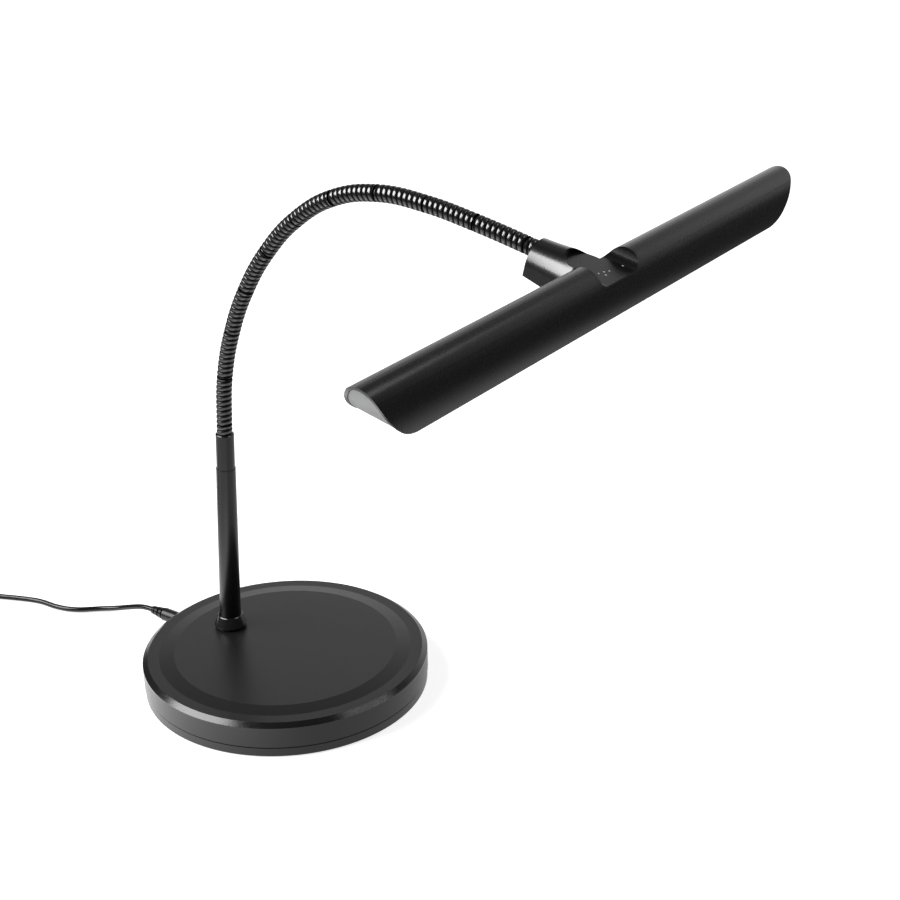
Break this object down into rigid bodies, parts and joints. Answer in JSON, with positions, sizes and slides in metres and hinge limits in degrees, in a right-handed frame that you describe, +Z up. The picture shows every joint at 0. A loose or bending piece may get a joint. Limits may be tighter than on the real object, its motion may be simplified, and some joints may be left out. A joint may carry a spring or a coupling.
{
  "type": "piano lamp",
  "caption": "Piano lamp with a weighted round base, a leaning post, a ribbed flexible neck and a long half-round light bar with a touch panel, with its supply lead and mains adapter.",
  "frame": {"origin": "centre of the round base's underside, on the table", "axes": "+X along the light bar, -Y towards the player, +Z up"},
  "size_m": [0.3625, 0.4897, 0.2984],
  "materials": {
    "shell_black": "satin",
    "painted_black": "satin",
    "black_plastic": "satin",
    "gloss_black": "gloss",
    "opal": "satin",
    "panel_grey": "satin",
    "cast_weight": "matte",
    "pad_rubber": "matte",
    "steel": "satin",
    "plate_aluminium": "satin",
    "board_white": "satin",
    "diode": "satin",
    "cord_black": "satin",
    "coil_black": "satin"
  },
  "bodies": {
    "base": {"base_cover": "black_plastic", "base_tray": "black_plastic", "base_weight": "cast_weight", "foot_pad": "pad_rubber", "tray_screws": "steel", "dc_socket": "black_plastic", "dc_socket_nut": "steel", "post_collar": "gloss_black", "post": "painted_black", "post_sleeve": "painted_black", "post_washer": "steel", "post_nut": "steel", "neck_root": "painted_black", "dc_plug": "black_plastic", "strain_relief": "black_plastic", "dc_cord": "cord_black", "cord_coil": "coil_black", "cord_tail": "cord_black", "adapter_relief": "black_plastic", "adapter_body": "black_plastic", "adapter_lid": "black_plastic", "adapter_pins": "steel"},
    "link_01": {"neck_link_01": "painted_black"},
    "link_02": {"neck_link_02": "painted_black"},
    "link_03": {"neck_link_03": "painted_black"},
    "link_04": {"neck_link_04": "painted_black"},
    "link_05": {"neck_link_05": "painted_black"},
    "link_06": {"neck_link_06": "painted_black"},
    "link_07": {"neck_link_07": "painted_black"},
    "link_08": {"neck_link_08": "painted_black"},
    "link_09": {"neck_link_09": "painted_black"},
    "link_10": {"neck_link_10": "painted_black"},
    "head": {"neck_tail": "painted_black", "connector": "gloss_black", "neck_set_screw": "steel", "touch_panel": "panel_grey", "touch_board": "board_white", "bar_shell": "shell_black", "diffuser": "opal", "led_plate": "plate_aluminium", "led_board": "board_white", "leds": "diode", "head_screws": "steel"}
  },
  "joints": [
    {"name": "lower_bend", "type": "hinge", "parent": "base", "child": "link_01", "pos_m": [0, 0.03373, 0.1492], "axis": [1, 0, 0], "range_deg": [-14, 8]},
    {"name": "lower_bend_2", "type": "hinge", "parent": "link_01", "child": "link_02", "pos_m": [0, 0.03076, 0.17735], "axis": [1, 0, 0], "range_deg": [-14, 8]},
    {"name": "side_bend", "type": "hinge", "parent": "link_02", "child": "link_03", "pos_m": [0, 0.02301, 0.2046], "axis": [0, -0.904, -0.4276], "range_deg": [-16, 16]},
    {"name": "lower_bend_3", "type": "hinge", "parent": "link_03", "child": "link_04", "pos_m": [0, 0.0109, 0.2302], "axis": [1, 0, 0], "range_deg": [-14, 8]},
    {"name": "upper_bend", "type": "hinge", "parent": "link_04", "child": "link_05", "pos_m": [0, -0.0053, 0.25344], "axis": [1, 0, 0], "range_deg": [-16, 8]},
    {"name": "upper_bend_2", "type": "hinge", "parent": "link_05", "child": "link_06", "pos_m": [0, -0.02547, 0.2733], "axis": [1, 0, 0], "range_deg": [-16, 8]},
    {"name": "side_bend_2", "type": "hinge", "parent": "link_06", "child": "link_07", "pos_m": [0, -0.04974, 0.28778], "axis": [0, -0.2239, -0.9746], "range_deg": [-16, 16]},
    {"name": "upper_bend_3", "type": "hinge", "parent": "link_07", "child": "link_08", "pos_m": [0, -0.07726, 0.2941], "axis": [1, 0, 0], "range_deg": [-16, 8]},
    {"name": "upper_bend_4", "type": "hinge", "parent": "link_08", "child": "link_09", "pos_m": [0, -0.10556, 0.29306], "axis": [1, 0, 0], "range_deg": [-16, 8]},
    {"name": "side_bend_3", "type": "hinge", "parent": "link_09", "child": "link_10", "pos_m": [0, -0.13352, 0.2884], "axis": [0, 0.2113, -0.9774], "range_deg": [-16, 16]},
    {"name": "head_tilt", "type": "hinge", "parent": "link_10", "child": "head", "pos_m": [0, -0.16124, 0.28241], "axis": [1, 0, 0], "range_deg": [-20, 20]}
  ],
  "couplings": [
    {"joint": "lower_bend_2", "follows": "lower_bend", "ratio": 1},
    {"joint": "lower_bend_3", "follows": "lower_bend", "ratio": 1},
    {"joint": "upper_bend_2", "follows": "upper_bend", "ratio": 1},
    {"joint": "side_bend_2", "follows": "side_bend", "ratio": 1},
    {"joint": "upper_bend_3", "follows": "upper_bend", "ratio": 1},
    {"joint": "upper_bend_4", "follows": "upper_bend", "ratio": 1},
    {"joint": "side_bend_3", "follows": "side_bend", "ratio": 1}
  ]
}
